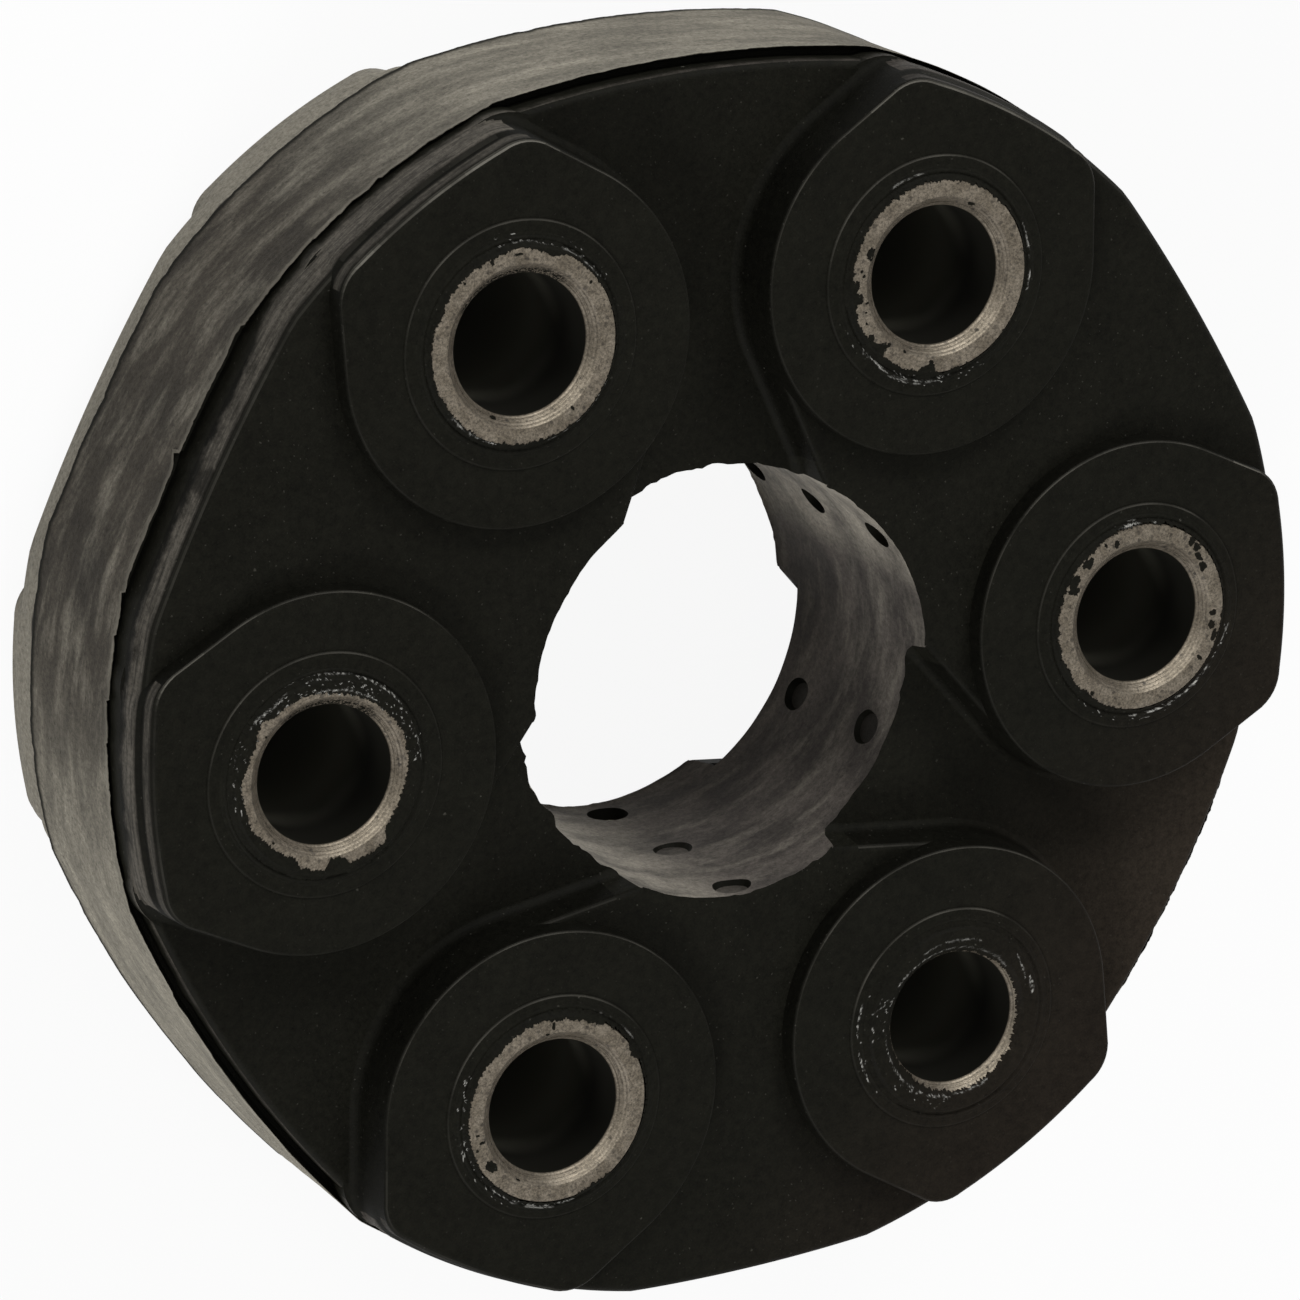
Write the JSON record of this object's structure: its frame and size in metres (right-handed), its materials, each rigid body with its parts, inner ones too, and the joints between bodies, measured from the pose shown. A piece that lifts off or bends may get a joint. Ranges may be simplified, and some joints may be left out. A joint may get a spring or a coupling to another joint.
{
  "type": "driveshaft flex disc",
  "caption": "Flexible disc coupling: steel bolt sleeves on a circle in a moulded rubber body with buried cord loops, raised pads and an open middle bore.",
  "frame": {"origin": "on the shaft axis, in the plane of the back sleeve ends", "axes": "+Z is the shaft axis and points out of the front face, +X passes through the first sleeve, and the other sleeves follow anticlockwise seen from the front"},
  "size_m": [0.1108, 0.1094, 0.033],
  "materials": {
    "rubber": "matte black, dusty",
    "sleeve_steel": "dull, with rubber flecks",
    "collar_steel": "plain pressed steel",
    "cord": "wound polyester cord"
  },
  "bodies": {
    "root": {"rubber_body": "rubber", "sleeve_1": "sleeve_steel", "sleeve_2": "sleeve_steel", "sleeve_3": "sleeve_steel", "sleeve_4": "sleeve_steel", "sleeve_5": "sleeve_steel", "sleeve_6": "sleeve_steel", "collar_front_1": "collar_steel", "collar_front_2": "collar_steel", "collar_front_3": "collar_steel", "collar_front_4": "collar_steel", "collar_front_5": "collar_steel", "collar_front_6": "collar_steel", "collar_back_1": "collar_steel", "collar_back_2": "collar_steel", "collar_back_3": "collar_steel", "collar_back_4": "collar_steel", "collar_back_5": "collar_steel", "collar_back_6": "collar_steel", "cord_loop_front_1": "cord", "cord_loop_front_2": "cord", "cord_loop_front_3": "cord", "cord_loop_back_1": "cord", "cord_loop_back_2": "cord", "cord_loop_back_3": "cord", "cord_loop_middle_1": "cord", "cord_loop_middle_2": "cord", "cord_loop_middle_3": "cord"}
  },
  "joints": []
}
